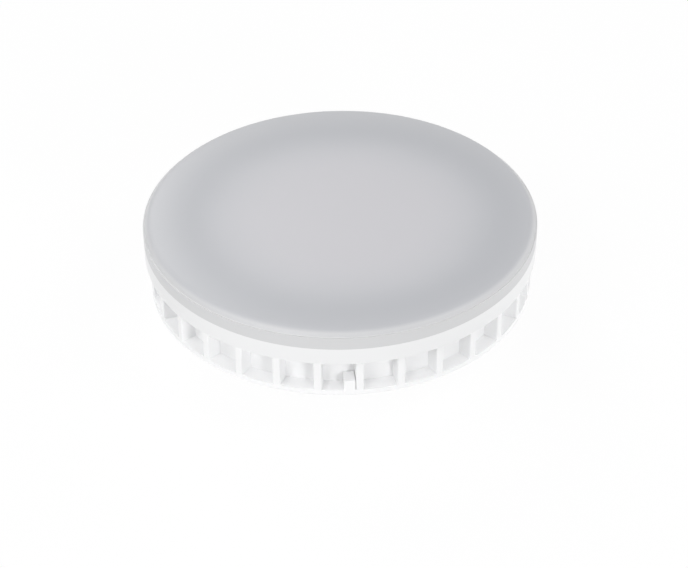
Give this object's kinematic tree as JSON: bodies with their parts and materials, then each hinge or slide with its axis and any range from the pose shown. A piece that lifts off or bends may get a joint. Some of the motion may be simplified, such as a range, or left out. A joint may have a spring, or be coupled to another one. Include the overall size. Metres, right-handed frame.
{
  "type": "led disc lamp",
  "caption": "Flat round LED lamp with an opal face, a white finned housing and a two-pin twist-lock cap.",
  "frame": {"origin": "centre of the boss's end face, on which the lamp stands with its light upwards", "axes": "+Z along the lamp's axis, out of the light-giving face; the two contact pins lie on the X axis"},
  "size_m": [0.075, 0.075, 0.027],
  "materials": {
    "opal_plastic": "frosted opal polycarbonate",
    "housing_plastic": "white, fine satin moulding",
    "cap_plastic": "white, fine satin moulding",
    "pin_metal": "nickel plated, turned",
    "light_board": "white solder mask on a metal core",
    "emitter": "phosphor in a white package",
    "screw_steel": "zinc plated",
    "laminate": "plain circuit laminate",
    "capacitor_sleeve": "shrunk sleeve",
    "ferrite": "sintered",
    "winding": "enamelled copper wire",
    "resistor_coat": "painted ceramic",
    "chip_resin": "moulded epoxy",
    "lead_white": "insulated wire",
    "lead_red": "insulated wire",
    "lead_black": "insulated wire"
  },
  "bodies": {
    "root": {"diffuser": "opal_plastic", "housing": "housing_plastic", "base_cap": "cap_plastic", "contact_pin_left": "pin_metal", "contact_pin_right": "pin_metal", "led_board": "light_board", "led_chips": "emitter", "board_screws": "screw_steel", "driver_board": "laminate", "bulk_capacitor": "capacitor_sleeve", "output_capacitor": "capacitor_sleeve", "inductor_core": "ferrite", "inductor_winding": "winding", "fuse_resistor": "resistor_coat", "rectifier": "chip_resin", "driver_chip": "chip_resin", "pin_lead_left": "lead_white", "pin_lead_right": "lead_white", "led_lead_positive": "lead_red", "led_lead_negative": "lead_black"}
  },
  "joints": []
}
